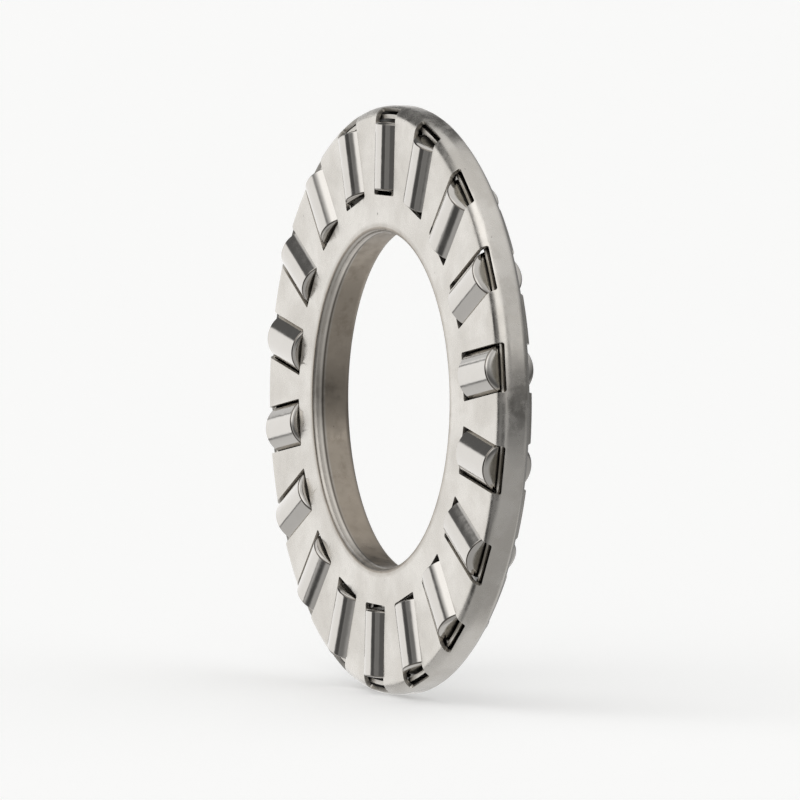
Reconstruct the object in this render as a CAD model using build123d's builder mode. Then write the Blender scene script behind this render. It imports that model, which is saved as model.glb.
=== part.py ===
# Thrust roller and cage assembly: short cylindrical rollers lie like spokes in a flat
# ring, and the ring is a cage folded from two pressed steel shells.
# The bearing axis is Y. The front face looks towards -Y, and the roller axes lie in the
# plane y = 0, so the origin is the point where they all meet.

import os
from math import cos, radians, sin

from build123d import *

# Driving dimensions, in millimetres and degrees
outer_radius = 28.0  # rim of the front shell
bore_radius = 16.0  # front lip at the bore, the narrowest place a shaft passes
roller_count = 18
roller_diameter = 5.0
roller_length = 6.55
roller_centre_radius = 23.15  # bearing axis to the middle of a roller
crown_length = 0.27  # rounded edge at each end of a roller, along its axis
crown_depth = 0.72  # the same edge, across the end face
sheet = 0.40  # thickness of both shells
cage_front = -1.70  # front face of the cage
cage_rear = 2.30  # rear face of the cage
rim_bend = 1.40  # outside radius of the bends at the rim
pocket_width = 4.57  # narrower than a roller, so the cage holds it
pocket_inner_radius = 19.45
pocket_end_angle = 57.0  # how far round the rim bend a pocket is pierced

# Front shell
rim_edge = 1.42  # rear edge of its rim, curled in over the rear shell
rim_curl_depth = 0.52
rim_curl_length = 0.48
rim_curl_bend = 0.60
lip_edge = -0.72  # end of the short lip at the bore
lip_bend = 0.46

# Rear shell
inner_wall_radius = 16.22
inner_wall_bend = 0.66
inner_wall_edge = -0.66  # meets the front lip across a fine crevice
nested_radius = 27.15  # its rim, inside the front shell's rim
nested_edge = -1.06

roller_pitch = 360 / roller_count
pocket_angles = [90 - roller_pitch * station for station in range(roller_count)]


def radial_plane(angle):
    """Plane through the bearing axis: x runs outwards at this angle, y along +Y."""
    outwards = (cos(radians(angle)), 0, sin(radians(angle)))
    across = (-sin(radians(angle)), 0, cos(radians(angle)))
    return Plane(origin=(0, 0, 0), x_dir=outwards, z_dir=across)


def pocket_outline(face, side):
    """Corners of a pocket's cut, from the bore side round the rim bend.

    face is the height of the shell's outer face and side is -1 at the front and 1 at
    the rear. The cut stops square to the sheet, part of the way round the bend.
    """
    rim = outer_radius if side < 0 else nested_radius
    bend_radius = rim - rim_bend
    bend_height = face - side * rim_bend
    reach = 2 * rim_bend
    end_radius = bend_radius + reach * sin(radians(pocket_end_angle))
    end_height = bend_height + side * reach * cos(radians(pocket_end_angle))
    clear_height = face + side * rim_bend
    return [
        (pocket_inner_radius, bend_height),
        (pocket_inner_radius, clear_height),
        (end_radius, clear_height),
        (end_radius, end_height),
        (bend_radius, bend_height),
    ]


pocket_planes = [radial_plane(angle) for angle in pocket_angles]

# Front shell: rim, flat face and bore lip, pressed from one sheet
with BuildPart() as cage_front_shell:
    with BuildSketch(Plane.XY):
        with BuildLine():
            FilletPolyline(
                (outer_radius - rim_curl_depth, rim_edge),
                (outer_radius, rim_edge - rim_curl_length),
                (outer_radius, cage_front),
                (bore_radius, cage_front),
                (bore_radius, lip_edge),
                radius=[rim_curl_bend, rim_bend, lip_bend],
            )
            offset(amount=sheet, side=Side.RIGHT)
        make_face()
    revolve(axis=Axis.Y)
    with BuildSketch(*pocket_planes):
        Polygon(*pocket_outline(cage_front, -1), align=None)
    extrude(amount=pocket_width / 2, both=True, mode=Mode.SUBTRACT)

# Rear shell: long inner wall, rear face and the rim that nests in the front shell
with BuildPart() as cage_rear_shell:
    with BuildSketch(Plane.XY):
        with BuildLine():
            FilletPolyline(
                (nested_radius, nested_edge),
                (nested_radius, cage_rear),
                (inner_wall_radius, cage_rear),
                (inner_wall_radius, inner_wall_edge),
                radius=[rim_bend, inner_wall_bend],
            )
            offset(amount=sheet, side=Side.LEFT)
        make_face()
    revolve(axis=Axis.Y)
    with BuildSketch(*pocket_planes):
        Polygon(*pocket_outline(cage_rear, 1), align=None)
    extrude(amount=pocket_width / 2, both=True, mode=Mode.SUBTRACT)

cage_front_shell.part.label = "cage_front_shell"
cage_rear_shell.part.label = "cage_rear_shell"

os.makedirs("parts", exist_ok=True)
export_step(cage_front_shell.part, "parts/cage_front_shell.step")
export_step(cage_rear_shell.part, "parts/cage_rear_shell.step")

# Rollers, numbered clockwise from the top as seen from the front
roller_radius = roller_diameter / 2
inner_end = roller_centre_radius - roller_length / 2
outer_end = roller_centre_radius + roller_length / 2
flat_radius = roller_radius - crown_depth
for number, angle in enumerate(pocket_angles, start=1):
    plane = radial_plane(angle)
    with BuildPart() as roller:
        with BuildSketch(plane):
            with BuildLine():
                Line((outer_end, flat_radius), (outer_end, 0))
                Line((outer_end, 0), (inner_end, 0))
                Line((inner_end, 0), (inner_end, flat_radius))
                EllipticalCenterArc(
                    (inner_end + crown_length, flat_radius), crown_length, crown_depth, 90, arc_size=90
                )
                Line((inner_end + crown_length, roller_radius), (outer_end - crown_length, roller_radius))
                EllipticalCenterArc(
                    (outer_end - crown_length, flat_radius), crown_length, crown_depth, 0, arc_size=90
                )
            make_face()
        revolve(axis=Axis((0, 0, 0), plane.x_dir))
    name = f"roller_{number:02d}"
    roller.part.label = name
    export_step(roller.part, f"parts/{name}.step")
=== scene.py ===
from math import cos, pi, radians, sin, tan

import bmesh
import bpy
from mathutils import Matrix, Vector


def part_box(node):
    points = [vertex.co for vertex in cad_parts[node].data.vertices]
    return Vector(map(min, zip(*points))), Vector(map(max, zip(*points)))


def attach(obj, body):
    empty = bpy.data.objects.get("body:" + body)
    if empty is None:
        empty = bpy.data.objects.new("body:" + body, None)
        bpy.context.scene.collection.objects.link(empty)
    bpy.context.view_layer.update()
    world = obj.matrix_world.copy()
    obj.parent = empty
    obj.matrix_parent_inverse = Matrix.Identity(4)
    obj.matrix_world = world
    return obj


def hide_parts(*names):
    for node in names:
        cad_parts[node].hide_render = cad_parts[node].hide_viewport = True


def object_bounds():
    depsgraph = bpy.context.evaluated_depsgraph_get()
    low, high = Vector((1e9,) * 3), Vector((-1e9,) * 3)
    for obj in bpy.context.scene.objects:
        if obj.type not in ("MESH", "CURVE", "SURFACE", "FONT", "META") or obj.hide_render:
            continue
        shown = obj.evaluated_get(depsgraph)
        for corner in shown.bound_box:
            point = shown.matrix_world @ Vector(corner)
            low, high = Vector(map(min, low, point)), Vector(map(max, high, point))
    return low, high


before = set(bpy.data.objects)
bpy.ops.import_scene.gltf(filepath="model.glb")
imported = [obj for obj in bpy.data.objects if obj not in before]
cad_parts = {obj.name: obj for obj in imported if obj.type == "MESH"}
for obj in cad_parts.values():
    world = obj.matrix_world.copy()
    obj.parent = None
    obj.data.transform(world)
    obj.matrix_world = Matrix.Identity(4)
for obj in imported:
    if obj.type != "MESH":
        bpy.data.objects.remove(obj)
cadLow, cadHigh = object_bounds()
mm = 0.001  # sizes in the dictionaries are millimetres, the scene is in metres
scene = bpy.context.scene
print("frame loaded,", len(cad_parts), "nodes")

# sizes that the frame gives
frontLow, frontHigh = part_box("cage_front_shell")
rearLow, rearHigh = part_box("cage_rear_shell")
topLow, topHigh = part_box("roller_01")  # the roller that stands upright at the top
rollerNames = sorted(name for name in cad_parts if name.startswith("roller_"))
pitch = 2 * pi / len(rollerNames)


def finishPiece(name, bm, material, body, replaced):
    mesh = bpy.data.meshes.new(name)
    bm.to_mesh(mesh)
    bm.free()
    mesh.materials.append(material)
    for face in mesh.polygons:
        face.use_smooth = True
    piece = bpy.data.objects.new(name, mesh)
    scene.collection.objects.link(piece)
    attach(piece, body)
    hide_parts(replaced)
    return piece


# spin and merge may leave a mesh in any order, and this puts it in the same one each run
def settleOrder(bm):
    kinds = (
        (bm.verts, lambda vert: vert.co.to_tuple()),
        (bm.edges, lambda edge: (edge.verts[0].co + edge.verts[1].co).to_tuple()),
        (bm.faces, lambda face: face.calc_center_median().to_tuple()),
    )
    for items, place in kinds:
        ranks = {item: rank for rank, item in enumerate(sorted(items, key=place))}
        items.sort(key=lambda item: ranks[item])


# a line through the corners, with an arc in place of each one between the ends
def roundedLine(corners, bends, steps):
    points = [Vector(corners[0])]
    for before, corner, after, bend in zip(corners, corners[1:], corners[2:], bends):
        corner = Vector(corner)
        back = (Vector(before) - corner).normalized()
        ahead = (Vector(after) - corner).normalized()
        half = back.angle(ahead) / 2
        centre = corner + (back + ahead).normalized() * bend / sin(half)
        start = corner + back * bend / tan(half) - centre
        end = corner + ahead * bend / tan(half) - centre
        sweep = start.angle(end)
        for step in range(steps + 1):
            part = step / steps
            points.append(centre + (start * sin((1 - part) * sweep) + end * sin(part * sweep)) / sin(sweep))
    points.append(Vector(corners[-1]))
    return points


# short ways to add nodes, for every material and for the studio's light

def addNode(tree, kind, inputs=(), **settings):
    made = tree.nodes.new(kind)
    for key, value in settings.items():
        setattr(made, key, value)
    for socket, value in dict(inputs).items():
        if isinstance(value, bpy.types.NodeSocket):
            tree.links.new(value, made.inputs[socket])
        else:
            made.inputs[socket].default_value = value
    return made


def addNoise(tree, where, size, detail=3.0, rough=0.55):
    noise = addNode(
        tree, "ShaderNodeTexNoise",
        {"Vector": where, "Scale": 1 / (size * mm), "Detail": detail, "Roughness": rough},
    )
    return noise.outputs["Fac"]


def addRange(tree, value, low, high, start, end):
    ranged = addNode(
        tree, "ShaderNodeMapRange",
        {0: value, 1: low, 2: high, 3: start, 4: end}, interpolation_type="SMOOTHSTEP",
    )
    return ranged.outputs[0]


def addMath(tree, operation, first, second=0.0):
    return addNode(tree, "ShaderNodeMath", {0: first, 1: second}, operation=operation).outputs[0]


def addMix(tree, share, first, second):
    mixed = addNode(tree, "ShaderNodeMix", {0: share, 6: first, 7: second}, data_type="RGBA")
    return mixed.outputs[2]


# how much of a value lies in a line of this half width, fading out over its edge
def addLine(tree, value, middle, core, edge, most):
    away = addMath(tree, "ABSOLUTE", addMath(tree, "SUBTRACT", value, middle * mm))
    return addRange(tree, away, core * mm, edge * mm, most, 0.0)


def addBump(tree, height, depth, under=None):
    inputs = {"Height": height, "Distance": depth * mm, "Strength": 1.0}
    if under:
        inputs["Normal"] = under
    return addNode(tree, "ShaderNodeBump", inputs).outputs[0]


# every finish here is bare metal, and its patterns lie on Object coordinates
def newSteel(name):
    material = bpy.data.materials.new(name)
    material.use_nodes = True
    tree = material.node_tree
    shader = tree.nodes["Principled BSDF"]
    shader.inputs["Metallic"].default_value = 1
    place = addNode(tree, "ShaderNodeTexCoord").outputs["Object"]
    return material, tree, shader, place


def wearFinish(tree, shader, colour, rough, normal=None):
    tree.links.new(colour, shader.inputs["Base Color"])
    tree.links.new(rough, shader.inputs["Roughness"])
    if normal:
        tree.links.new(normal, shader.inputs["Normal"])


pressedSteel = {
    "pale": (0.70, 0.672, 0.628, 1),
    "grey": (0.585, 0.556, 0.512, 1),
    # stains, the painted shade line where the face turns into the bore, and the darkening towards the
    # bore's bottom
    "stainAndShade": (0.30, 0.255, 0.205, 1),
    # specks, and also the painted shadow in the crevice and on the tucked flange
    "speckAndShadow": (0.10, 0.085, 0.07, 1),
    # painted highlight along the lip's edge
    "lipHighlight": (0.82, 0.77, 0.70, 1),
    "cloudSize": 5.0,
    "patchSize": 1.3,
    "grainSize": 0.16,
    "dripSize": 2.4,
    "speckPitch": 1.5,
    "roughLow": 0.17,
    "roughHigh": 0.34,
    "boreStart": 16.55,  # radius where the bore's oil begins, and where it is gone
    "boreEnd": 17.0,
    "boreRough": 0.10,
    "boreTone": (0.66, 0.635, 0.59, 1),
    "boreShare": 0.0,  # how much of the drawn wall behind the lip has its own tone
    "stainLeast": 0.20,
    "stainMost": 0.40,
    "lowerBoreDarkShare": 0.0,  # darker towards the lowest part of the bore
    "tuckShadeShare": 0.0,  # painted shade on the flange tucked inside the other rim
    "turnShadeRadius": 16.33,  # painted shade: a dark line where the face turns into the bore
    "lipHighlightLine": -0.96,  # painted highlight line at the lip's edge, and painted shadow in the crevice behind it
    "creviceShadowLine": -0.69,
    "waveSize": 2.6,
    "dent": 0.009,  # depth of the soft waves in the sheet
    "grain": 0.0007,  # depth of the fine rolled grain
}


def pressedSheet(name, values):
    material, tree, shader, place = newSteel(name)

    def both(first, second):
        return addMath(tree, "MULTIPLY", first, second)

    x, y, z = addNode(tree, "ShaderNodeSeparateXYZ", {0: place}).outputs
    squared = addMath(tree, "ADD", addMath(tree, "POWER", x, 2), addMath(tree, "POWER", z, 2))
    radius = addMath(tree, "SQRT", squared)
    cloud = addNoise(tree, place, values["cloudSize"], 4.0)
    patch = addNoise(tree, place, values["patchSize"], 4.0, 0.65)
    fine = addNoise(tree, place, values["grainSize"], 2.0)
    tone = addRange(tree, addMath(tree, "ADD", cloud, both(patch, 0.6)), 0.62, 0.98, 0, 1)
    colour = addMix(tree, tone, values["grey"], values["pale"])

    # the wall drawn behind the lip takes its own darker, duller tone, and the flange tucked under the other
    # rim is painted near black as shade between the two shells
    inBore = addRange(tree, radius, values["boreStart"] * mm, values["boreEnd"] * mm, 1.0, 0.0)
    drawn = both(both(addRange(tree, y, -0.45 * mm, -0.30 * mm, 0.0, 1.0), inBore), values["boreShare"])
    colour = addMix(tree, drawn, colour, values["boreTone"])
    # painted shade: the flange tucked under the other rim darkens towards black
    tuckedShade = both(
        addRange(tree, radius, 27.0 * mm, 27.1 * mm, 0.0, values["tuckShadeShare"]),
        addRange(tree, y, 1.0 * mm, 1.3 * mm, 1.0, 0.0),
    )
    colour = addMix(tree, tuckedShade, colour, values["speckAndShadow"])

    # lines round the bore, painted shade and a painted highlight, oil stains between them, and darkening
    # towards the bore's bottom
    # painted shadow: a dark line in the crevice behind the lip
    creviceShadow = both(addLine(tree, y, values["creviceShadowLine"], 0.05, 0.26, 0.85), inBore)
    # painted highlight: a bright line on the lip near its edge
    lipHighlight = both(addLine(tree, y, values["lipHighlightLine"], 0.06, 0.22, 0.7), inBore)
    # painted shade along the start of the bend into the bore
    turnShade = both(
        addLine(tree, radius, values["turnShadeRadius"], 0.05, 0.20, 0.8),
        addRange(tree, y, -1.4 * mm, -1.3 * mm, 1.0, 0.0),
    )
    drips = addNoise(tree, place, values["dripSize"], 5.0, 0.7)
    stained = both(addRange(tree, drips, 0.46, 0.66, values["stainLeast"], values["stainMost"]), inBore)
    # darker towards the bottom of the bore
    lowerBoreDark = both(addRange(tree, z, -14.5 * mm, -7.5 * mm, values["lowerBoreDarkShare"], 0.0), inBore)
    for share, over in (
        (turnShade, "stainAndShade"), (stained, "stainAndShade"), (lipHighlight, "lipHighlight"), (creviceShadow, "speckAndShadow"), (lowerBoreDark, "stainAndShade"),
    ):
        colour = addMix(tree, share, colour, values[over])

    dots = addNode(
        tree, "ShaderNodeTexVoronoi",
        {"Vector": place, "Scale": 1 / (values["speckPitch"] * mm), "Randomness": 1.0},
    ).outputs["Distance"]
    some = addRange(tree, patch, 0.56, 0.62, 0.0, 1.0)
    colour = addMix(tree, both(addRange(tree, dots, 0.05, 0.10, 0.75, 0.0), some), colour, values["speckAndShadow"])

    rough = addRange(tree, patch, 0.3, 0.7, values["roughLow"], values["roughHigh"])
    rough = addMath(tree, "ADD", rough, both(inBore, values["boreRough"]))
    waves = addBump(tree, addNoise(tree, place, values["waveSize"], 2.0), values["dent"])
    wearFinish(tree, shader, colour, rough, addBump(tree, fine, values["grain"], waves))
    return material


# the side of the sheet that faces the rollers keeps a dark oil film, made near black as painted shade for
# the gaps round the rollers
oiledAndShadedInside = {
    "thick": (0.035, 0.03, 0.025, 1),
    "thin": (0.10, 0.09, 0.075, 1),
    "filmSize": 1.2,
}


def innerSheet(name, values):
    material, tree, shader, place = newSteel(name)
    film = addNoise(tree, place, values["filmSize"], 4.0, 0.6)
    colour = addMix(tree, film, values["thick"], values["thin"])
    wearFinish(tree, shader, colour, addRange(tree, film, 0.3, 0.7, 0.32, 0.5))
    return material


shearedSteel = {
    "torn": (0.50, 0.475, 0.435, 1),
    "cut": (0.72, 0.69, 0.64, 1),
    "tearSize": 0.25,
    "tearDepth": 0.003,
}


def shearedEdge(name, values):
    material, tree, shader, place = newSteel(name)
    tear = addNoise(tree, place, values["tearSize"], 3.0, 0.6)
    colour = addMix(tree, tear, values["torn"], values["cut"])
    rough = addRange(tree, tear, 0.3, 0.7, 0.30, 0.48)
    wearFinish(tree, shader, colour, rough, addBump(tree, tear, values["tearDepth"]))
    return material


groundSteel = {
    "pale": (0.66, 0.635, 0.60, 1),
    "grey": (0.585, 0.56, 0.525, 1),
    "end": (0.40, 0.375, 0.32, 1),
    "cornerShade": (0.13, 0.11, 0.09, 1),  # painted reflection: a dark line on the rounded corner
    "roughSide": 0.10,
    "roughEnd": 0.30,
    "endRadius": 1.74,  # the flat end is dull out to here, and bright again from the next one on
    "crownRadius": 2.02,
    "waveSize": 1.1,
    "waveDepth": 0.009,
    "ringDepth": 0.0004,
}


# a roller's mesh says how far along its axis and how far from it each point is, in millimetres
def groundBar(name, values):
    material, tree, shader, place = newSteel(name)
    along = addNode(tree, "ShaderNodeAttribute", attribute_name="alongAxis").outputs["Fac"]
    out = addNode(tree, "ShaderNodeAttribute", attribute_name="fromAxis").outputs["Fac"]
    onEnd = addRange(tree, out, values["endRadius"], values["crownRadius"], 1.0, 0.0)
    # painted dark reflection along the rounded corner of each end
    onCornerShade = addMath(
        tree, "MULTIPLY",
        addRange(tree, out, 2.385, 2.425, 0.0, 0.85), addRange(tree, out, 2.480, 2.492, 1.0, 0.0),
    )
    film = addNoise(tree, place, 1.6, 4.0, 0.6)
    dull = addRange(tree, addNoise(tree, place, 0.7, 3.0), 0.4, 0.7, 0.75, 1.0)
    colour = addMix(tree, film, values["grey"], values["pale"])
    colour = addMix(tree, addMath(tree, "MULTIPLY", onEnd, dull), colour, values["end"])
    colour = addMix(tree, onCornerShade, colour, values["cornerShade"])
    smear = addRange(tree, film, 0.35, 0.7, values["roughSide"] - 0.02, values["roughSide"] + 0.05)
    duller = addMath(tree, "MULTIPLY", onEnd, values["roughEnd"] - values["roughSide"])
    rough = addMath(tree, "ADD", smear, duller)
    # fine rings left by grinding on the side, and by turning on the ends
    rings = addNode(tree, "ShaderNodeCombineXYZ", {0: addMath(tree, "ADD", along, out)}).outputs[0]
    marks = addNode(
        tree, "ShaderNodeTexNoise", {"Vector": rings, "Scale": 22.0, "Detail": 2.0},
    ).outputs["Fac"]
    waves = addBump(tree, addNoise(tree, place, values["waveSize"], 1.5), values["waveDepth"])
    wearFinish(tree, shader, colour, rough, addBump(tree, marks, values["ringDepth"], waves))
    return material


cageSteel = pressedSheet("cageSteel", pressedSteel)
rearSteel = pressedSheet("rearSteel", dict(
    pressedSteel,
    pale=(0.58, 0.55, 0.505, 1),
    grey=(0.47, 0.44, 0.395, 1),
    boreTone=(0.43, 0.375, 0.31, 1),
    boreShare=0.9,
    stainMost=0.75,
    lowerBoreDarkShare=0.55,
    # painted shade on the tucked flange
    tuckShadeShare=0.8,
))
cageInsideShade = innerSheet("cageInsideShade", oiledAndShadedInside)
cageEdge = shearedEdge("cageEdge", shearedSteel)
rollerSteel = groundBar("rollerSteel", groundSteel)
print("steel finishes made")


# one sector of the sheet is spun and its pocket cut out, and the sector goes round the ring
def pressShell(size):
    side = size["side"]
    bm = bmesh.new()
    line = roundedLine(size["corners"], size["bends"], size["bendSteps"])
    verts = [bm.verts.new((point.x * mm, point.y * mm, 0)) for point in line]
    for start, end in zip(verts, verts[1:]):
        bm.edges.new((start, end))
    bmesh.ops.rotate(bm, verts=bm.verts, matrix=Matrix.Rotation(-pitch / 2, 3, "Y"))
    bmesh.ops.spin(
        bm, geom=bm.verts[:] + bm.edges[:], axis=(0, 1, 0), cent=(0, 0, 0),
        angle=pitch, steps=size["sectorSteps"], use_merge=False, use_duplicate=False,
    )
    bmesh.ops.remove_doubles(bm, verts=bm.verts, dist=1e-7)
    settleOrder(bm)

    # the pocket is the space between these planes: a point on each, and its outward normal
    halfWidth = size["pocketWidth"] / 2
    bendCentre = Vector((size["rim"] - size["rimBend"], size["face"] - side * size["rimBend"], 0))
    endAngle = radians(size["pocketEndAngle"])
    alongEnd = Vector((sin(endAngle), side * cos(endAngle), 0))
    pastEnd = Vector((cos(endAngle), -side * sin(endAngle), 0))
    inner = Vector((size["pocketInner"], size["face"], 0))
    outer = bendCentre + alongEnd * size["rimBend"]
    ends = [(inner, Vector((-1, 0, 0))), (outer, pastEnd)]
    planes = ends[:]
    for across in (-1, 1):
        planes.append((Vector((0, 0, across * halfWidth)), Vector((0, 0, across))))
        for corner, outward in ends:
            radius = size["pocketCorner"]
            middle = corner - outward * radius + Vector((0, 0, across * (halfWidth - radius)))
            for turn in (22.5, 45, 67.5):
                normal = outward * cos(radians(turn)) + Vector((0, 0, across)) * sin(radians(turn))
                planes.append((middle + normal * radius, normal))

    nearPocket = (size["pocketInner"] - 1.5) * mm
    for spot, normal in planes:
        reach = [face for face in bm.faces if face.calc_center_median().x > nearPocket]
        # a dictionary keeps them in order, so each run cuts the sheet the same way
        edges = list(dict.fromkeys(edge for face in reach for edge in face.edges))
        corners = list(dict.fromkeys(vert for face in reach for vert in face.verts))
        bmesh.ops.bisect_plane(
            bm, geom=reach + edges + corners, dist=1e-7, plane_co=spot * mm, plane_no=normal,
        )
    cut = [
        face for face in bm.faces
        if all((face.calc_center_median() / mm - spot).dot(normal) < 0 for spot, normal in planes)
    ]
    bmesh.ops.delete(bm, geom=cut, context="FACES")
    settleOrder(bm)

    sector = bm.verts[:] + bm.edges[:] + bm.faces[:]
    for station in range(1, len(rollerNames)):
        copy = bmesh.ops.duplicate(bm, geom=sector)["geom"]
        moved = [item for item in copy if isinstance(item, bmesh.types.BMVert)]
        bmesh.ops.rotate(bm, verts=moved, matrix=Matrix.Rotation(station * pitch, 3, "Y"))
    # the first pocket is made pointing along +X, and the top one points along +Z
    bmesh.ops.rotate(bm, verts=bm.verts, matrix=Matrix.Rotation(-pi / 2, 3, "Y"))
    bmesh.ops.remove_doubles(bm, verts=bm.verts, dist=2e-6)
    bmesh.ops.recalc_face_normals(bm, faces=bm.faces)
    settleOrder(bm)
    # an open sheet has no inside, so its flat face says which way is out
    flat = max(bm.faces, key=lambda face: side * face.calc_center_median().y)
    if flat.normal.y * side < 0:
        bmesh.ops.reverse_faces(bm, faces=bm.faces)
    return bm


def finishShell(name, size, material, replaced):
    shell = finishPiece(name, pressShell(size), material, "cage", replaced)
    for other in (cageInsideShade, cageEdge):
        shell.data.materials.append(other)
    wall = shell.modifiers.new("sheet", "SOLIDIFY")
    wall.thickness = size["sheet"] * mm
    wall.offset = -1
    wall.use_even_offset = True
    # inside faces take the oil film and painted shade
    wall.material_offset = 1
    wall.material_offset_rim = 2
    edge = shell.modifiers.new("rolledEdges", "BEVEL")
    edge.width = size["edgeBreak"] * mm
    edge.segments = 3
    edge.limit_method = "ANGLE"
    edge.angle_limit = radians(50)
    edge.harden_normals = False
    shading = shell.modifiers.new("evenShading", "WEIGHTED_NORMAL")
    shading.keep_sharp = False


frontShell = {
    "side": -1,
    "sheet": 0.40,
    "face": frontLow.y / mm,
    "rim": frontHigh.x / mm,
    "rimBend": 1.40,
    "curlDepth": 0.52,
    "curlLength": 0.48,
    "curlBend": 0.60,
    "lipRadius": 16.0,
    "lipEdge": -0.72,
    "lipBend": 0.46,
    "pocketWidth": 4.57,
    "pocketInner": 19.45,
    "pocketEndAngle": 57,
    "pocketCorner": 0.22,
    "edgeBreak": 0.10,
    "bendSteps": 12,
    "sectorSteps": 24,
}
frontShell["corners"] = [
    (frontShell["rim"] - frontShell["curlDepth"], frontHigh.y / mm),
    (frontShell["rim"], frontHigh.y / mm - frontShell["curlLength"]),
    (frontShell["rim"], frontShell["face"]),
    (frontShell["lipRadius"], frontShell["face"]),
    (frontShell["lipRadius"], frontShell["lipEdge"]),
]
frontShell["bends"] = [frontShell["curlBend"], frontShell["rimBend"], frontShell["lipBend"]]
finishShell("frontShellPressed", frontShell, cageSteel, "cage_front_shell")
print("front shell pressed")

rearShell = dict(
    frontShell,
    side=1,
    face=rearHigh.y / mm,
    rim=rearHigh.x / mm,
    rimEdge=rearLow.y / mm,
    innerWall=16.22,
    innerBend=0.66,
    innerEdge=-0.66,
)
rearShell["corners"] = [
    (rearShell["rim"], rearShell["rimEdge"]),
    (rearShell["rim"], rearShell["face"]),
    (rearShell["innerWall"], rearShell["face"]),
    (rearShell["innerWall"], rearShell["innerEdge"]),
]
rearShell["bends"] = [rearShell["rimBend"], rearShell["innerBend"]]
finishShell("rearShellPressed", rearShell, rearSteel, "cage_rear_shell")
print("rear shell pressed")


roller = {
    "radius": (topHigh.x - topLow.x) / 2 / mm,
    "length": (topHigh.z - topLow.z) / mm,
    "middle": (topHigh.z + topLow.z) / 2 / mm,
    "crownLength": 0.27,
    "crownDepth": 0.72,
    "crownSteps": 12,
    "turnSteps": 128,
}


# half of a roller's outline, from the middle of one end to the middle of the other
def rollerLine():
    radius, half = roller["radius"], roller["length"] / 2
    crown = []
    for step in range(roller["crownSteps"] + 1):
        turn = pi / 2 * step / roller["crownSteps"]
        along = half - roller["crownLength"] * (1 - cos(turn))
        crown.append(Vector((along, radius - roller["crownDepth"] * (1 - sin(turn)), 0)))
    other = [Vector((-point.x, point.y, 0)) for point in crown]
    return [Vector((-half, 0, 0))] + other + crown[::-1] + [Vector((half, 0, 0))]


def turnRoller(name, station):
    bm = bmesh.new()
    line = rollerLine()
    verts = [bm.verts.new(((roller["middle"] + point.x) * mm, point.y * mm, 0)) for point in line]
    for start, end in zip(verts, verts[1:]):
        bm.edges.new((start, end))
    bmesh.ops.spin(
        bm, geom=bm.verts[:] + bm.edges[:], axis=(1, 0, 0), cent=(0, 0, 0),
        angle=2 * pi, steps=roller["turnSteps"], use_merge=True, use_duplicate=False,
    )
    bmesh.ops.remove_doubles(bm, verts=bm.verts, dist=1e-7)
    bmesh.ops.recalc_face_normals(bm, faces=bm.faces)
    settleOrder(bm)
    along = bm.verts.layers.float.new("alongAxis")
    out = bm.verts.layers.float.new("fromAxis")
    for vert in bm.verts:
        vert[along] = vert.co.x / mm
        vert[out] = vert.co.yz.length / mm
    turn = -pi / 2 + station * pitch
    bmesh.ops.rotate(bm, verts=bm.verts, matrix=Matrix.Rotation(turn, 3, "Y"))
    piece = finishPiece(f"{name}_ground", bm, rollerSteel, name, name)
    piece.modifiers.new("evenShading", "WEIGHTED_NORMAL")


for station, name in enumerate(rollerNames):
    turnRoller(name, station)
print(len(rollerNames), "rollers turned")


studio = {
    "floorHeight": cadLow.z,
    "floorSize": 16.0,  # metres
    "floorColour": (0.86, 0.86, 0.85, 1),
    "floorGlow": 0.31,
    "ceilingLow": 0.46,  # brightness level with the bearing, and overhead
    "ceilingHigh": 0.86,
    "groundLeft": 0.74,  # brightness of the table left of the bearing, and right of it
    "groundRight": 0.47,
}

# soft panels round the bearing, laid over each other in this order: middle bearing from the front,
# middle height, half width, half height and softness of the edges in degrees, and brightness
panels = [
    ("roomRight", 134, 0, 72, 13, 11, 0.13),
    ("roomBack", -160, 0, 42, 13, 11, 0.20),
    ("shadeLeft", -86, 34, 47, 17, 2.5, 0.13),
    ("screenBack", 158, -14, 30, 10, 8, 0.40),
    ("lampRight", 116, 26, 20, 8, 5, 0.85),
    ("topWindow", 14, 48, 32, 20, 8, 1.45),
    ("sideWindow", 42, 30, 29, 15, 8, 1.30),
    ("faceWindow", -76, -2.5, 44, 19, 2, 1.12),
    ("windowWing", -98, 15.5, 18, 4.5, 1, 0.72),
    ("windowBar", -90, 10.8, 18, 0.9, 0.7, 0.25),
    ("tableEdge", -80, -22.5, 44, 1.6, 1, 0.28),
    ("flagFront", -19, -11, 11, 33, 4, 0.09),
    ("flagMiddle", 2, -6, 10, 28, 4, 0.23),
    ("stackRight", 27, -12, 15, 18, 4, 0.13),
]


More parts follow.
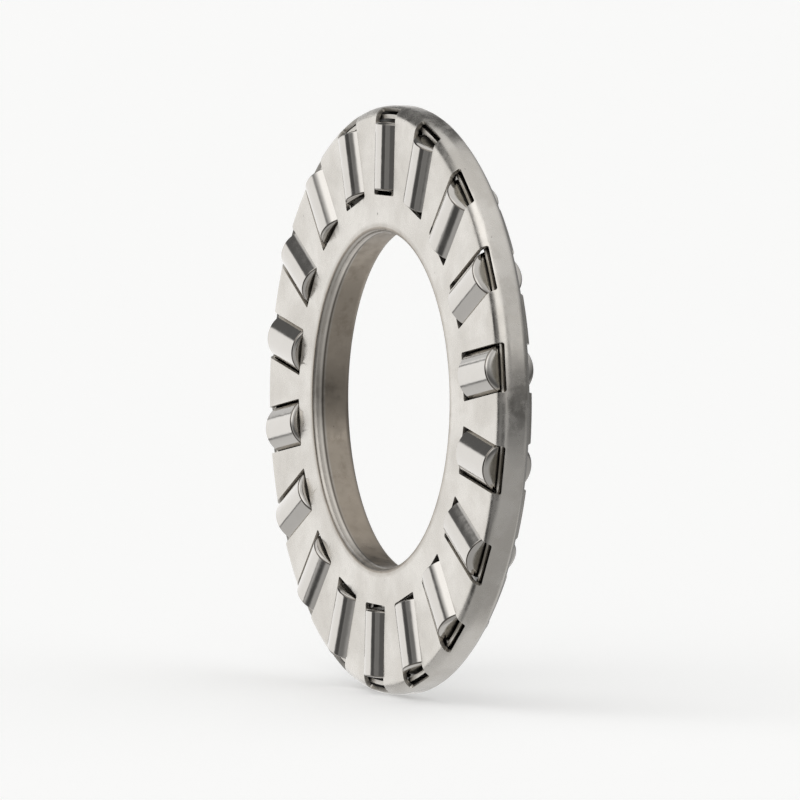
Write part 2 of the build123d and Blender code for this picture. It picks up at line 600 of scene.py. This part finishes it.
def lightStudio():
    world = bpy.data.worlds.new("paleStudio")
    scene.world = world
    world.use_nodes = True
    tree = world.node_tree
    tree.nodes.clear()

    def both(first, second):
        return addMath(tree, "MULTIPLY", first, second)

    def apart(first, second):
        return addMath(tree, "SUBTRACT", first, second)

    towards = addNode(tree, "ShaderNodeTexCoord").outputs["Generated"]
    x, y, z = addNode(tree, "ShaderNodeSeparateXYZ", {0: towards}).outputs
    bearing = both(addMath(tree, "ARCTAN2", x, both(y, -1.0)), 180 / pi)
    height = both(addMath(tree, "ARCSINE", z), 180 / pi)

    ceiling = addRange(tree, height, 0, 75, studio["ceilingLow"], studio["ceilingHigh"])
    ground = addRange(tree, bearing, -90, 10, studio["groundLeft"], studio["groundRight"])
    level = addRange(tree, height, -30, 5, 0.0, 1.0)
    light = addMath(tree, "ADD", both(ceiling, level), both(ground, apart(1.0, level)))
    for name, middle, lift, halfWidth, halfHeight, soft, bright in panels:
        across = addMath(tree, "ABSOLUTE", apart(bearing, float(middle)))
        above = addMath(tree, "ABSOLUTE", apart(height, float(lift)))
        cover = both(
            addRange(tree, across, halfWidth - soft, halfWidth + soft, 1.0, 0.0),
            addRange(tree, above, halfHeight - soft, halfHeight + soft, 1.0, 0.0),
        )
        light = addMath(tree, "ADD", both(light, apart(1.0, cover)), both(cover, bright))
    # the steel sees the panels, and the backdrop itself stays plain white
    seen = addNode(tree, "ShaderNodeLightPath").outputs["Is Camera Ray"]
    strength = addMath(tree, "ADD", both(light, apart(1.0, seen)), seen)
    background = addNode(tree, "ShaderNodeBackground", {0: (1.0, 1.0, 1.0, 1.0), 1: strength})
    output = addNode(tree, "ShaderNodeOutputWorld")
    tree.links.new(background.outputs[0], output.inputs["Surface"])


def layFloor():
    bm = bmesh.new()
    bmesh.ops.create_grid(bm, x_segments=2, y_segments=2, size=studio["floorSize"] / 2)
    bmesh.ops.translate(bm, verts=bm.verts, vec=(0, 0, studio["floorHeight"]))
    mesh = bpy.data.meshes.new("paleFloor")
    bm.to_mesh(mesh)
    bm.free()
    floor = bpy.data.objects.new("paleFloor", mesh)
    scene.collection.objects.link(floor)
    material = bpy.data.materials.new("paleFloor")
    material.use_nodes = True
    shader = material.node_tree.nodes["Principled BSDF"]
    shader.inputs["Base Color"].default_value = studio["floorColour"]
    shader.inputs["Roughness"].default_value = 0.9
    shader.inputs["Specular IOR Level"].default_value = 0.1
    shader.inputs["Emission Color"].default_value = (1, 1, 1, 1)
    shader.inputs["Emission Strength"].default_value = studio["floorGlow"]
    mesh.materials.append(material)
    floor.visible_glossy = False  # the steel sees the panels below it, not the floor


lightStudio()
layFloor()
print("studio lit,", len(panels), "panels")


shot = {
    "distance": 826.67,
    "azimuth": 66.265,
    "elevation": 3.523,
    "roll": 1.208,
    "lens": 391.25,
    "aside": 0.114,
    "lift": -0.005,
    "middle": 0.30,  # middle plane of the cage, towards the back
}


def placeCamera():
    around, up, roll = (radians(shot[key]) for key in ("azimuth", "elevation", "roll"))
    back = Vector((sin(around) * cos(up), -cos(around) * cos(up), sin(up)))
    level = Vector((cos(around), sin(around), 0))
    above = back.cross(level)
    right = level * cos(roll) + above * sin(roll)
    top = above * cos(roll) - level * sin(roll)
    data = bpy.data.cameras.new("shotCamera")
    data.lens = shot["lens"]
    data.clip_start = 0.01
    data.clip_end = 20
    camera = bpy.data.objects.new("shotCamera", data)
    scene.collection.objects.link(camera)
    camera.matrix_world = Matrix((right, top, back)).transposed().to_4x4()
    aim = Vector((0, shot["middle"], 0))
    camera.location = (aim + back * shot["distance"] + right * shot["aside"] + top * shot["lift"]) * mm
    scene.camera = camera


placeCamera()
scene.view_settings.view_transform = "Standard"
print("camera placed")
